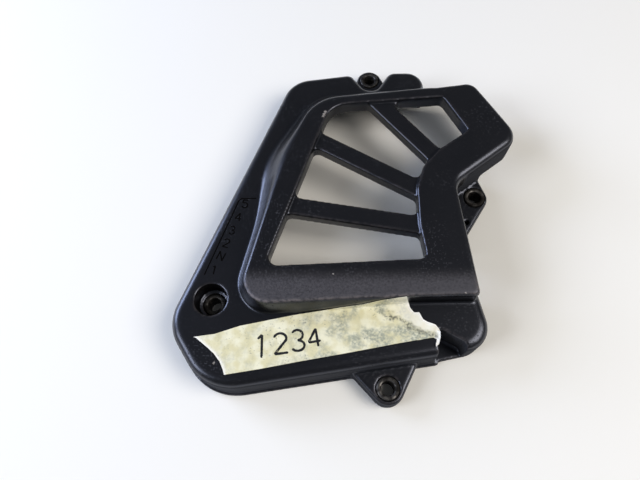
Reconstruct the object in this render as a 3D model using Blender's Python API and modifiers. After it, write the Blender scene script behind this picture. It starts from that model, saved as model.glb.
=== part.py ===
"""Chain guard of a motorcycle: the moulded cover over the drive sprocket.

One black moulded shell, four steel sleeves for its M6 bolts, and the strip of masking
tape stuck on it. Sizes are in millimetres in the shell's own plan: x to the rear, y up
the engine, z outwards from the engine's face, which is z = 0. The meshes are in metres.
"""
import math

import bmesh
import bpy
from mathutils import Vector

MM = 0.001

# Levels above the engine's face.
LUG_TOP = 9.5
PLATE_TOP = 19.0
FACE_TOP = 29.0

# Wall of the moulding, its draft, and the round on its outer edges.
WALL = 2.5
DRAFT_WIDTH = 0.6
EDGE_ROUND = 3.0
LUG_ROUND = 2.0

# Steel sleeves for M6 bolts, and the clearance round each in its seat.
SLEEVE_RADIUS = 5.4
SLEEVE_BORE_RADIUS = 3.25
SLEEVE_STANDS_PROUD = 0.3
SEAT_CLEARANCE = 0.3

# Where the four bolts are, and the lugs and the deep seat that hold them.
FRONT_BOLT = (-54.0, -38.9)
BOTTOM_BOLT = (29.7, -78.2)
REAR_BOLT = (79.6, 20.6)
TOP_BOLT = (25.8, 99.8)
BOTTOM_LUG_RADIUS = 7.8
REAR_LUG_RADIUS = 7.0
TOP_LUG_RADIUS = 7.2
FRONT_SEAT_RADIUS = 7.8
FRONT_BOSS_RADIUS = 10.6
BOTTOM_LUG_ROOTS = ((46.0, -63.5), (11.0, -69.5))
REAR_LUG_ROOTS = ((82.5, 33.0), (69.6, -8.0))
REAR_LUG_INNER = ((66.2, 0.0), (65.4, 13.0), (66.2, 19.0), (71.0, 24.2))
TOP_LUG_ROOTS = ((16.5, 90.0), (39.5, 97.0))
TOP_LUG_INNER = ((39.5, 86.0), (16.5, 86.0))
LOCATING_HOLE = (74.3, 6.1)
LOCATING_HOLE_RADIUS = 1.3

# Outline of the lower tier: corners (x, y, radius), clockwise seen from outside.
PLATE_CORNERS = (
    (-19.9, 93.3, 17.0),
    (18.1, 98.3, 4.6),
    (18.1, 87.6, 8.1),
    (34.5, 87.6, 8.1),
    (34.5, 99.2, 5.4),
    (55.8, 99.2, 10.0),
    (57.5, 78.0, 4.0),
    (61.0, -6.0, 5.0),
    (69.0, -12.0, 5.0),
    (79.3, -59.6, 15.0),
    (54.8, -64.9, 12.0),
    (-53.8, -82.2, 26.0),
    (-75.0, -50.8, 21.0),
)

# The raised tier over the sprocket: its foot and the edge of its flat face. Each corner
# is (x, y, radius), and the third list says how the side between them is formed there.
FOOT_CORNERS = (
    (-34.3, 37.0, 50.0),
    (-6.5, 80.7, 20.0),
    (56.0, 86.5, 60.0),
    (81.2, 81.4, 8.0),
    (101.5, 45.9, 9.0),
    (66.0, 19.2, 10.0),
    (71.9, -39.4, 2.4),
    (35.0, -40.2, 160.0),
    (-46.4, -49.0, 17.0),
    (-34.4, 3.5, 110.0),
)
FACE_CORNERS = (
    (-18.2, 35.6, 400.0),
    (-6.3, 69.2, 24.0),
    (56.0, 76.2, 900.0),
    (79.0, 78.6, 6.0),
    (98.0, 46.3, 7.0),
    (64.6, 20.9, 10.0),
    (69.8, -37.4, 2.0),
    (34.5, -38.8, 500.0),
    (-39.4, -43.6, 11.0),
    (-27.2, 6.0, 400.0),
)
SLOPE, UPRIGHT = 0.0, 1.0
SIDE_FORMS = (SLOPE, SLOPE, SLOPE, UPRIGHT, UPRIGHT, UPRIGHT, UPRIGHT, UPRIGHT, SLOPE, SLOPE)
SLOPE_ROUNDING = 0.34

# The fan of windows in the raised face, bridged by bars that radiate from one point.
# The windows' walls stand a small step inside the wall of the sunk fan.
FAN_CORNERS = (
    (-27.9, -25.4, 4.5),
    (3.2, 67.2, 18.0),
    (63.6, 71.9, 3.0),
    (75.0, 50.3, 1.5),
    (59.3, 38.9, 2.5),
    (50.6, 29.2, 8.0),
    (46.4, 17.0, 14.0),
    (46.2, -4.0, 30.0),
    (48.7, -21.6, 3.0),
)
FAN_CENTRE = (96.4, -11.8)
FIRST_BAR_ANGLE = math.radians(129.6)
BAR_SPACING = math.radians(20.4)
BAR_COUNT = 3
BAR_WIDTH = 9.4
BAR_DEPTH_BELOW_FACE = 1.8
LIP_DEPTH = 5.4
LIP_WALL = 2.0
WINDOW_CORNER = 3.2
WINDOW_STEP = 0.25

# The notch in the lower rear edge, with its floor just above the engine's face.
NOTCH_CORNERS = (
    (52.6, -72.0, 0.5),
    (52.6, -51.6, 1.6),
    (65.4, -58.6, 3.5),
    (66.5, -72.0, 0.5),
)
NOTCH_FLOOR = 3.0

# Low lip round the rim of the lower tier, from the notch round to the top lug.
RIM_LIP_WIDTH = 1.3
RIM_LIP_HEIGHT = 2.6
RIM_LIP_ENDS = ((54.6, -65.0), (16.0, 96.0))

# Where the chain's two runs leave the guard: (low corner), (high corner) in plan.
UPPER_CHAIN_EXIT = ((83.2, 30.0), (106.0, 92.0))
UPPER_CHAIN_SIDE = ((54.0, 60.0), (90.0, 86.4))
LOWER_CHAIN_EXIT = ((58.0, -33.0), (84.0, -10.0))
UPPER_EXIT_HEIGHT = 12.0
LOWER_EXIT_HEIGHT = 13.0

# Stiffeners moulded inside: webs out of the front boss, and gussets along the skirt.
STIFFENER = 2.0
STIFFENER_FOOT = 5.0
BOSS_WEBS = (("wall_web", 158.9, 13.4), ("corner_web", 230.0, 23.2), ("inner_web", 12.0, 18.0))
GUSSET_OFFSETS = (-22.0, 4.0, 41.0)
GUSSET_LENGTH = 32.0

# The strip of paper tape on the lower tier, with its torn ends.
TAPE_GAP = 0.3
TAPE_THICKNESS = 0.4
TAPE_OUTLINE = (
    (-60.0, -57.1), (-50.2, -55.6), (-38.9, -52.2), (-22.7, -50.2), (-8.0, -47.0),
    (7.7, -44.4), (20.0, -42.6), (39.6, -41.6),
    (40.5, -43.4), (42.2, -45.0), (44.6, -45.0), (46.2, -48.5), (49.8, -50.4), (51.4, -53.0),
    (51.6, -56.8), (44.2, -57.8), (25.9, -61.1), (-10.4, -67.9), (-44.4, -74.1),
    (-45.1, -71.9), (-46.8, -68.4), (-49.8, -64.8), (-55.9, -59.8),
)

# Facets: steps in each rounded corner, in a bolt hole, and in an edge's round.
CORNER_STEPS = 7
ROUND_SIDES = 40
EDGE_STEPS = 4
SIDE_STEPS = 8
SIDE_POINTS = 2
SMALLEST_RADIUS = 0.3

# How far cutters run past what they cut, how deep inner forms run into a wall, and the
# reach of the cutter that takes all that lies below the engine's face.
OVERRUN = 4.0
WALL_OVERLAP = 0.8
BEYOND_THE_PART = 400.0


def clear_scene():
    for thing in list(bpy.data.objects):
        bpy.data.objects.remove(thing, do_unlink=True)


def new_collection(name):
    collection = bpy.data.collections.new(name)
    bpy.context.scene.collection.children.link(collection)
    return collection


def new_material(name, colour, roughness, metallic):
    material = bpy.data.materials.new(name)
    material.use_nodes = True
    shader = material.node_tree.nodes["Principled BSDF"]
    shader.inputs["Base Color"].default_value = (*colour, 1.0)
    shader.inputs["Roughness"].default_value = roughness
    shader.inputs["Metallic"].default_value = metallic
    return material


def round_corner(before, corner, after, radius):
    """Points of the arc that rounds one corner of an outline."""
    here = Vector(corner)
    back = Vector(before) - here
    ahead = Vector(after) - here
    half_angle = back.angle(ahead) / 2
    tangent = radius / math.tan(half_angle)
    tangent = min(tangent, 0.48 * back.length, 0.48 * ahead.length)
    back.normalize()
    ahead.normalize()
    centre = here + (back + ahead).normalized() * tangent / math.cos(half_angle)
    start = here + back * tangent - centre
    end = here + ahead * tangent - centre
    turn = start.angle_signed(end)
    points = []
    for step in range(CORNER_STEPS + 1):
        angle = turn * step / CORNER_STEPS
        x = start.x * math.cos(angle) + start.y * math.sin(angle)
        y = start.y * math.cos(angle) - start.x * math.sin(angle)
        points.append(centre + Vector((x, y)))
    return points


def rounded_outline(corners):
    """Closed outline through corners (x, y, radius), each rounded by its own arc."""
    count = len(corners)
    points = []
    for index, (x, y, radius) in enumerate(corners):
        before = corners[index - 1][:2]
        after = corners[(index + 1) % count][:2]
        points += round_corner(before, (x, y), after, radius)
    return points


def inset(points, distance):
    """The outline moved inwards by a distance. It runs clockwise, so inside is right."""
    count = len(points)
    moved = []
    for index, point in enumerate(points):
        back = (point - points[index - 1]).normalized()
        ahead = (points[(index + 1) % count] - point).normalized()
        normal_back = Vector((back.y, -back.x))
        normal_ahead = Vector((ahead.y, -ahead.x))
        mitre = (normal_back + normal_ahead) / (1 + normal_back.dot(normal_ahead))
        moved.append(point + mitre * distance)
    return moved


def inset_outline(corners, distance):
    """Rounded outline moved inwards: its outer corners get tighter, its inner ones wider."""
    places = [Vector(corner[:2]) for corner in corners]
    moved = inset(places, distance)
    count = len(corners)
    changed = []
    for index, (x, y, radius) in enumerate(corners):
        back = places[index] - places[index - 1]
        ahead = places[(index + 1) % count] - places[index]
        outer_corner = back.angle_signed(ahead) > 0
        new_radius = radius - distance if outer_corner else radius + distance
        changed.append((moved[index].x, moved[index].y, max(new_radius, SMALLEST_RADIUS)))
    return rounded_outline(changed)


def circle(centre, radius):
    points = []
    for side in range(ROUND_SIDES):
        angle = -2 * math.pi * side / ROUND_SIDES
        points.append(Vector(centre) + radius * Vector((math.cos(angle), math.sin(angle))))
    return points


def new_object(name, mesh, collection):
    item = bpy.data.objects.new(name, mesh)
    collection.objects.link(item)
    return item


def loft(name, rings, collection):
    """Closed solid through rings of (x, y, z) points, lowest ring first."""
    shape = bmesh.new()
    rows = []
    for ring in rings:
        rows.append([shape.verts.new((x * MM, y * MM, z * MM)) for x, y, z in ring])
    count = len(rows[0])
    for low, high in zip(rows, rows[1:]):
        for index in range(count):
            after = (index + 1) % count
            shape.faces.new((low[index], high[index], high[after]))
            shape.faces.new((low[index], high[after], low[after]))
    shape.faces.new(rows[0])
    shape.faces.new(list(reversed(rows[-1])))
    bmesh.ops.recalc_face_normals(shape, faces=shape.faces)
    mesh = bpy.data.meshes.new(name)
    shape.to_mesh(mesh)
    shape.free()
    return new_object(name, mesh, collection)


def ring_at(points, height):
    return [(point.x, point.y, height) for point in points]


def prism(name, points, low, high, collection):
    return loft(name, (ring_at(points, low), ring_at(points, high)), collection)


def rounded_block(name, outline_at, low, high, edge_round, draft, collection):
    """Upright block with a drafted side and a round on its top edge.

    outline_at gives the outline at a distance inwards from the block's foot.
    """
    rings = [ring_at(outline_at(0.0), low)]
    for step in range(EDGE_STEPS + 1):
        angle = math.pi / 2 * step / EDGE_STEPS
        inward = draft + edge_round * (1 - math.cos(angle))
        rings.append(ring_at(outline_at(inward), high - edge_round * (1 - math.sin(angle))))
    return loft(name, rings, collection)


def slope_rise(run):
    """Height of the S shaped slope, 0 to 1, at a share of its run."""
    end = SLOPE_ROUNDING
    scale = 1 / (1 - end)
    if run < end:
        return scale * run * run / (2 * end)
    if run > 1 - end:
        return 1 - scale * (1 - run) * (1 - run) / (2 * end)
    return scale * (run - end / 2)


def side_point(foot, face, form, step, low, high):
    """One point of the raised tier's side, between its foot and its flat face."""
    share = step / SIDE_STEPS
    slope_height = low + (high - low) * slope_rise(share)
    width = (face - foot).length
    edge = min(width, (high - low) / 2)
    angle = math.pi / 2 * share
    upright_share = 1 - math.cos(angle)
    upright_height = high - edge * (1 - math.sin(angle))
    run = (1 - form) * share + form * upright_share
    height = (1 - form) * slope_height + form * upright_height
    place = foot.lerp(face, run)
    return (place.x, place.y, height)


def with_side_points(outline):
    """A rounded outline with more points on the straights between its corners."""
    points = []
    count = len(outline)
    for index, point in enumerate(outline):
        points.append(point)
        if index % (CORNER_STEPS + 1) == CORNER_STEPS:
            after = outline[(index + 1) % count]
            for step in range(1, SIDE_POINTS + 1):
                points.append(point.lerp(after, step / (SIDE_POINTS + 1)))
    return points


def raised_solid(name, inward, downward, collection):
    """The raised tier, or with a wall taken off it, the hollow inside it."""
    foot = with_side_points(inset_outline(FOOT_CORNERS, inward))
    face = with_side_points(inset_outline(FACE_CORNERS, inward))
    forms = []
    for index, form in enumerate(SIDE_FORMS):
        next_form = SIDE_FORMS[(index + 1) % len(SIDE_FORMS)]
        forms += [form] * (CORNER_STEPS + 1)
        for step in range(1, SIDE_POINTS + 1):
            share = step / (SIDE_POINTS + 1)
            forms.append((1 - share) * form + share * next_form)
    low = PLATE_TOP - downward
    high = FACE_TOP - downward
    rings = [ring_at(foot, -OVERRUN - downward)]
    for step in range(SIDE_STEPS + 1):
        ring = []
        for foot_point, face_point, form in zip(foot, face, forms):
            ring.append(side_point(foot_point, face_point, form, step, low, high))
        rings.append(ring)
    return loft(name, rings, collection)


def tangent_point(root, centre, radius, side):
    """Where the line from a lug's root touches the round of the lug."""
    reach = Vector(centre) - Vector(root)
    angle = math.asin(radius / reach.length) * side
    length = math.sqrt(reach.length_squared - radius * radius)
    turned = Vector((reach.x * math.cos(angle) - reach.y * math.sin(angle),
                     reach.x * math.sin(angle) + reach.y * math.cos(angle)))
    return Vector(root) + turned.normalized() * length


def lug_outline(bolt, radius, roots, inner):
    """Lug round a bolt: two straight flanks out of the wall and a round nose."""
    nose_start = tangent_point(roots[0], bolt, radius, 1)
    nose_end = tangent_point(roots[1], bolt, radius, -1)
    start = nose_start - Vector(bolt)
    turn = start.angle_signed(nose_end - Vector(bolt)) % (2 * math.pi)
    steps = ROUND_SIDES // 2
    points = [Vector(roots[0])]
    for step in range(steps + 1):
        angle = turn * step / steps
        x = start.x * math.cos(angle) + start.y * math.sin(angle)
        y = start.y * math.cos(angle) - start.x * math.sin(angle)
        points.append(Vector(bolt) + Vector((x, y)))
    points.append(Vector(roots[1]))
    points += [Vector(point) for point in inner]
    return points


def cut_by_line(corners, origin, normal):
    """The part of an outline on the side of a line that its normal points to."""
    kept = []
    count = len(corners)
    for index, corner in enumerate(corners):
        after = corners[(index + 1) % count]
        here = (Vector(corner[:2]) - origin).dot(normal)
        there = (Vector(after[:2]) - origin).dot(normal)
        if here >= 0:
            kept.append(corner)
        if here * there < 0:
            crossing = Vector(corner[:2]).lerp(Vector(after[:2]), here / (here - there))
            kept.append((crossing.x, crossing.y, WINDOW_CORNER))
    return kept


def bar_line(index, side):
    """A point on one flank of a bar and the direction square to it."""
    angle = FIRST_BAR_ANGLE + BAR_SPACING * index
    square = Vector((-math.sin(angle), math.cos(angle)))
    return Vector(FAN_CENTRE) + square * side * (BAR_WIDTH / 2 - WINDOW_STEP), square


def window_outlines():
    """The four windows: the fan's outline with the three bars taken out of it."""
    outlines = []
    for window in range(BAR_COUNT + 1):
        corners = list(FAN_CORNERS)
        if window > 0:
            origin, square = bar_line(window - 1, 1)
            corners = cut_by_line(corners, origin, square)
        if window < BAR_COUNT:
            origin, square = bar_line(window, -1)
            corners = cut_by_line(corners, origin, -square)
        outlines.append(inset_outline(corners, WINDOW_STEP))
    return outlines


def box(name, low, high, collection):
    """Cuboid between two corners, from Blender's cube."""
    shape = bmesh.new()
    bmesh.ops.create_cube(shape, size=1.0)
    for vertex in shape.verts:
        for axis in range(3):
            middle = (low[axis] + high[axis]) / 2
            vertex.co[axis] = (middle + vertex.co[axis] * (high[axis] - low[axis])) * MM
    mesh = bpy.data.meshes.new(name)
    shape.to_mesh(mesh)
    shape.free()
    return new_object(name, mesh, collection)


def web(name, start, angle, length, low, high, collection):
    """Upright stiffener from a point along an angle in plan."""
    along = Vector((math.cos(angle), math.sin(angle)))
    across = Vector((-along.y, along.x)) * STIFFENER / 2
    first = Vector(start)
    last = first + along * length
    points = [first - across, first + across, last + across, last - across]
    return prism(name, points, low, high, collection)


def apply_boolean(target, tool, operation):
    modifier = target.modifiers.new(tool.name, "BOOLEAN")
    modifier.operation = operation
    modifier.object = tool
    tool.display_type = "WIRE"
    tool.hide_render = True


def build_outer_form(tools, parts):
    """Lower tier, raised tier and the three lugs, as one solid without its hollow."""
    shell = rounded_block("guard_shell", lambda inward: inset_outline(PLATE_CORNERS, inward),
                          -OVERRUN, PLATE_TOP, EDGE_ROUND, DRAFT_WIDTH, parts)
    apply_boolean(shell, raised_solid("raised_tier", 0.0, 0.0, tools), "UNION")
    lugs = (
        ("bottom_lug", BOTTOM_BOLT, BOTTOM_LUG_RADIUS, BOTTOM_LUG_ROOTS, ()),
        ("rear_lug", REAR_BOLT, REAR_LUG_RADIUS, REAR_LUG_ROOTS, REAR_LUG_INNER),
        ("top_lug", TOP_BOLT, TOP_LUG_RADIUS, TOP_LUG_ROOTS, TOP_LUG_INNER),
    )
    for name, bolt, radius, roots, inner in lugs:
        outline = lug_outline(bolt, radius, roots, inner)
        lug = rounded_block(name, lambda inward, points=outline: inset(points, inward),
                            -OVERRUN, LUG_TOP, LUG_ROUND, 0.0, tools)
        apply_boolean(shell, lug, "UNION")
    return shell


def hollow_shell(shell, tools):
    """Takes out the inside, which leaves a wall of even thickness."""
    inner_round = max(EDGE_ROUND - WALL, SMALLEST_RADIUS)
    hollow = rounded_block("plate_hollow",
                           lambda inward: inset_outline(PLATE_CORNERS, WALL + inward),
                           -OVERRUN - WALL, PLATE_TOP - WALL, inner_round, DRAFT_WIDTH, tools)
    apply_boolean(shell, hollow, "DIFFERENCE")
    apply_boolean(shell, raised_solid("raised_hollow", WALL, WALL, tools), "DIFFERENCE")


def skirt_place(x, inward):
    """Where the lower side of the skirt is at x, moved inwards, and its direction."""
    first = Vector(PLATE_CORNERS[-3][:2])
    last = Vector(PLATE_CORNERS[-2][:2])
    along = (last - first).normalized()
    square = Vector((along.y, -along.x))
    place = first + along * (x - first.x) / along.x
    return place + square * inward, square


def add_inner_forms(shell, tools):
    """What stands inside the hollow: boss, window lip, notch walls, webs, gussets."""
    under_plate = PLATE_TOP - WALL / 2
    boss = circle(FRONT_BOLT, FRONT_BOSS_RADIUS)
    lip = inset_outline(FAN_CORNERS, -LIP_WALL)
    skirt, square = skirt_place(NOTCH_CORNERS[0][0], WALL - WALL_OVERLAP)
    notch = cut_by_line(inset_outline(NOTCH_CORNERS, -WALL), skirt, square)
    notch = [Vector(point[:2]) for point in notch]
    forms = [
        prism("front_boss", boss, -OVERRUN, under_plate, tools),
        prism("window_lip", lip, FACE_TOP - LIP_DEPTH, FACE_TOP - WALL / 2, tools),
        prism("notch_walls", notch, -OVERRUN, under_plate, tools),
    ]
    for name, degrees, length in BOSS_WEBS:
        angle = math.radians(degrees)
        forms.append(web(name, FRONT_BOLT, angle, length, STIFFENER_FOOT, under_plate, tools))
    for number, x in enumerate(GUSSET_OFFSETS, 1):
        start, square = skirt_place(x, WALL - WALL_OVERLAP)
        angle = math.atan2(square.y, square.x)
        forms.append(web(f"gusset_{number}", start, angle, GUSSET_LENGTH,
                         STIFFENER_FOOT, under_plate, tools))
    for form in forms:
        apply_boolean(shell, form, "UNION")


def add_rim_lip(shell, tools):
    outline = inset_outline(PLATE_CORNERS, -RIM_LIP_WIDTH)
    first, last = [Vector(end) for end in RIM_LIP_ENDS]
    along = last - first
    lip = cut_by_line(outline, first, Vector((-along.y, along.x)).normalized())
    points = [Vector(point[:2]) for point in lip]
    apply_boolean(shell, prism("rim_lip", points, -OVERRUN, RIM_LIP_HEIGHT, tools), "UNION")


def cut_windows(shell, tools):
    """The fan sunk to the tops of the bars, and the four windows through it."""
    fan = rounded_outline(FAN_CORNERS)
    bar_top = FACE_TOP - BAR_DEPTH_BELOW_FACE
    cutters = [prism("fan_recess", fan, bar_top, FACE_TOP + OVERRUN, tools)]
    for number, outline in enumerate(window_outlines(), 1):
        cutters.append(prism(f"window_{number}", outline, FACE_TOP - LIP_DEPTH - OVERRUN,
                             FACE_TOP + OVERRUN, tools))
    for cutter in cutters:
        apply_boolean(shell, cutter, "DIFFERENCE")


def cut_seats(shell, tools):
    """Seats for the four sleeves, the deep seat of the front bolt, a locating hole."""
    seat_radius = SLEEVE_RADIUS + SEAT_CLEARANCE
    over = FACE_TOP + OVERRUN
    cutters = []
    for name, bolt in bolt_places():
        cutters.append(prism(f"{name}_seat", circle(bolt, seat_radius), -2 * OVERRUN, over, tools))
    cutters.append(prism("front_deep_seat", circle(FRONT_BOLT, FRONT_SEAT_RADIUS),
                         LUG_TOP, over, tools))
    cutters.append(prism("locating_hole", circle(LOCATING_HOLE, LOCATING_HOLE_RADIUS),
                         -2 * OVERRUN, over, tools))
    for cutter in cutters:
        apply_boolean(shell, cutter, "DIFFERENCE")


def cut_edges(shell, tools):
    """The notch, the two ways out for the chain, and the flat face on the engine."""
    notch = rounded_outline(NOTCH_CORNERS)
    far = BEYOND_THE_PART
    cutters = [
        prism("notch", notch, NOTCH_FLOOR, PLATE_TOP + OVERRUN, tools),
        box("below_engine_face", (-far, -far, -far), (far, far, 0.0), tools),
    ]
    exits = (
        ("upper_chain_exit", UPPER_CHAIN_EXIT, UPPER_EXIT_HEIGHT),
        ("upper_chain_side", UPPER_CHAIN_SIDE, UPPER_EXIT_HEIGHT),
        ("lower_chain_exit", LOWER_CHAIN_EXIT, LOWER_EXIT_HEIGHT),
    )
    for name, (low, high), height in exits:
        cutters.append(box(name, (*low, -2 * OVERRUN), (*high, height), tools))
    for cutter in cutters:
        apply_boolean(shell, cutter, "DIFFERENCE")


def bolt_places():
    return (("front", FRONT_BOLT), ("bottom", BOTTOM_BOLT), ("rear", REAR_BOLT), ("top", TOP_BOLT))


def build_sleeve(name, bolt, parts):
    """Turned steel sleeve: its section, spun about the bolt's axis."""
    top = LUG_TOP + SLEEVE_STANDS_PROUD
    chamfer = 0.4
    section = (
        (SLEEVE_BORE_RADIUS + chamfer, top), (SLEEVE_RADIUS - chamfer, top),
        (SLEEVE_RADIUS, top - chamfer), (SLEEVE_RADIUS, chamfer),
        (SLEEVE_RADIUS - chamfer, 0.0), (SLEEVE_BORE_RADIUS, 0.0),
        (SLEEVE_BORE_RADIUS, top - chamfer),
    )
    shape = bmesh.new()
    corners = [shape.verts.new((x * MM, 0.0, z * MM)) for x, z in section]
    for index, corner in enumerate(corners):
        shape.edges.new((corner, corners[(index + 1) % len(corners)]))
    mesh = bpy.data.meshes.new(name)
    shape.to_mesh(mesh)
    shape.free()
    sleeve = new_object(name, mesh, parts)
    sleeve.location = (bolt[0] * MM, bolt[1] * MM, 0.0)
    spin = sleeve.modifiers.new("turned", "SCREW")
    spin.steps = ROUND_SIDES
    spin.render_steps = ROUND_SIDES
    spin.use_merge_vertices = True
    spin.merge_threshold = 0.00001
    spin.use_smooth_shade = False
    return sleeve


def build_tape(parts):
    """Strip of paper tape, lying on the lower tier."""
    points = [Vector(point) for point in TAPE_OUTLINE]
    low = PLATE_TOP + TAPE_GAP
    return prism("masking_tape", points, low, low + TAPE_THICKNESS, parts)


def plan_middle():
    """Middle of the guard's footprint, which is the origin of the finished part."""
    points = inset_outline(PLATE_CORNERS, -RIM_LIP_WIDTH)
    points += rounded_outline(FOOT_CORNERS)
    points += circle(BOTTOM_BOLT, BOTTOM_LUG_RADIUS) + circle(TOP_BOLT, TOP_LUG_RADIUS)
    xs = [point.x for point in points]
    ys = [point.y for point in points]
    return (min(xs) + max(xs)) / 2, (min(ys) + max(ys)) / 2


def smooth_rounds(item):
    item.data.shade_smooth()
    item.data.set_sharp_from_angle(angle=math.radians(32.0))


def main():
    clear_scene()
    parts = new_collection("chain_guard")
    tools = new_collection("shaping_tools")
    shell = build_outer_form(tools, parts)
    add_rim_lip(shell, tools)
    hollow_shell(shell, tools)
    add_inner_forms(shell, tools)
    cut_windows(shell, tools)
    cut_seats(shell, tools)
    cut_edges(shell, tools)
    shell.data.materials.append(new_material("black_nylon", (0.018, 0.018, 0.021), 0.42, 0.0))
    steel = new_material("zinc_plated_steel", (0.20, 0.20, 0.20), 0.45, 1.0)
    for name, bolt in bolt_places():
        build_sleeve(f"{name}_sleeve", bolt, parts).data.materials.append(steel)
    tape = build_tape(parts)
    tape.data.materials.append(new_material("paper_tape", (0.72, 0.69, 0.55), 0.8, 0.0))
    middle_x, middle_y = plan_middle()
    for item in list(parts.objects) + list(tools.objects):
        item.location.x -= middle_x * MM
        item.location.y -= middle_y * MM
        smooth_rounds(item)


main()
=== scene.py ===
# %% [markdown]
# # The chain guard of a motorcycle
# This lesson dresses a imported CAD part. The part is a black moulded cover with two
# tiers, four steel sleeves in its bolt holes and a torn strip of paper tape on it.
# The CAD solids are the fixed frame: every piece made here lies where they are.

import math

import bmesh
import bpy
import numpy as np
from mathutils import Matrix, Vector, noise
from mathutils.bvhtree import BVHTree
from mathutils.geometry import delaunay_2d_cdt
from mathutils.kdtree import KDTree


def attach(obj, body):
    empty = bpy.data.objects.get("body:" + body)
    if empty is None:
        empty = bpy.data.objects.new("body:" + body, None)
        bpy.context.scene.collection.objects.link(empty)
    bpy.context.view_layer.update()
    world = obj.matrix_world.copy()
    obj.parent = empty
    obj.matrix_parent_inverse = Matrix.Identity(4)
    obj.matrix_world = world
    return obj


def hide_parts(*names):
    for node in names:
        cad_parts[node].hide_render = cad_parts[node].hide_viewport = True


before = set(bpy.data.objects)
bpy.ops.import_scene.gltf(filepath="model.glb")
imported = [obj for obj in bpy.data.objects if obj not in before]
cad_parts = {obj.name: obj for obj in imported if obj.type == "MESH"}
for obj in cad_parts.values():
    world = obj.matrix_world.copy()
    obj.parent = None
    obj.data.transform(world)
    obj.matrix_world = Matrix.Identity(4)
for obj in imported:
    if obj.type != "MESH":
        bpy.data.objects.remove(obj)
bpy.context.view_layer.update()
# Sizes are written in millimetres, and Blender's unit here is the metre.
MM = 0.001
print("nodes", sorted(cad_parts))

# %% [markdown]
# ## The plan
# A moulder draws such a cover as outlines at a few levels. The same is done here, in
# millimetres, with x to the rear, y up the engine and z outwards from its face.
# Each corner of an outline is (x, y, radius). The outlines run clockwise.

# %% Levels and walls
LUG_TOP = 9.5
PLATE_TOP = 19.0
FACE_TOP = 29.0
WALL = 2.5
DRAFT_WIDTH = 0.3
EDGE_ROUND = 4.5
LUG_ROUND = 2.0
RIM_LIP_WIDTH = 1.3
RIM_LIP_HEIGHT = 2.6
RIM_LIP_ENDS = ((54.6, -65.0), (16.0, 96.0))
OVERRUN = 4.0
WALL_OVERLAP = 0.8

# %% Outline of the lower tier
PLATE_CORNERS = (
    (-19.9, 93.3, 17.0), (15.0, 98.0, 5.0), (22.8, 86.9, 5.0), (29.0, 86.9, 5.0),
    (36.6, 99.2, 6.0), (55.8, 99.2, 10.0), (57.5, 78.0, 4.0), (61.0, -6.0, 5.0),
    (69.0, -12.0, 5.0), (79.3, -59.6, 15.0), (54.8, -64.9, 12.0), (-53.8, -82.2, 26.0),
    (-75.0, -50.8, 21.0),
)

# %% Foot and flat face of the raised tier
FOOT_CORNERS = (
    (-34.3, 37.0, 50.0), (-6.5, 80.7, 20.0), (56.0, 86.5, 60.0), (81.2, 81.4, 8.0),
    (101.5, 45.9, 9.0), (66.0, 19.2, 10.0), (71.9, -39.4, 2.4), (35.0, -40.2, 160.0),
    (-46.4, -49.0, 17.0), (-34.4, 3.5, 110.0),
)
FACE_CORNERS = (
    (-18.2, 35.6, 400.0), (-6.3, 69.2, 24.0), (56.0, 76.2, 900.0), (79.0, 78.6, 6.0),
    (97.0, 47.4, 7.0), (63.9, 21.9, 10.0), (69.8, -37.4, 2.0), (34.5, -38.8, 500.0),
    (-39.4, -43.6, 11.0), (-27.2, 6.0, 400.0),
)
SLOPE, UPRIGHT = 0.0, 1.0
SIDE_FORMS = (SLOPE,) * 3 + (UPRIGHT,) * 5 + (SLOPE,) * 2
SLOPE_ROUNDING = 0.34

# %% Fan of windows, notch and chain exits
FAN_CORNERS = (
    (-27.9, -25.4, 4.5), (3.2, 67.2, 18.0), (63.6, 71.9, 3.0), (75.0, 50.3, 1.5),
    (59.3, 38.9, 2.5), (50.6, 29.2, 8.0), (46.4, 17.0, 14.0), (46.2, -4.0, 30.0),
    (48.7, -21.6, 3.0),
)
FAN_CENTRE = (96.4, -11.8)
FIRST_BAR_ANGLE = math.radians(129.6)
BAR_SPACING = math.radians(20.4)
BAR_COUNT = 3
BAR_WIDTH = 9.4
BAR_DEPTH_BELOW_FACE = 1.8
LIP_DEPTH = 8.4
LIP_WALL = 2.0
WINDOW_CORNER = 3.2
WINDOW_STEP = 0.25
NOTCH_CORNERS = ((52.6, -72.0, 0.5), (52.6, -51.6, 1.6), (65.4, -58.6, 3.5), (66.5, -72.0, 0.5))
NOTCH_FLOOR = 3.0
UPPER_CHAIN_EXIT = ((83.2, 30.0), (106.0, 92.0))
UPPER_CHAIN_SIDE = ((54.0, 60.0), (90.0, 86.4))
LOWER_CHAIN_EXIT = ((58.0, -33.0), (84.0, -10.0))
UPPER_EXIT_HEIGHT = 12.0
LOWER_EXIT_HEIGHT = 13.0

# %% Bolts, lugs and stiffeners
SLEEVE_RADIUS = 5.4
SLEEVE_BORE_RADIUS = 3.25
SLEEVE_TOP = 9.8
SLEEVE_CHAMFER = 0.35
SEAT_RADIUS = 5.7
BOLTS = {"front": (-54.0, -38.9), "bottom": (29.7, -78.2), "rear": (79.6, 20.6), "top": (25.8, 99.8)}
FRONT_SEAT_RADIUS = 7.8
FRONT_BOSS_RADIUS = 10.6
LUG_RADII = {"bottom": 7.8, "rear": 7.0, "top": 7.2}
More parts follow.
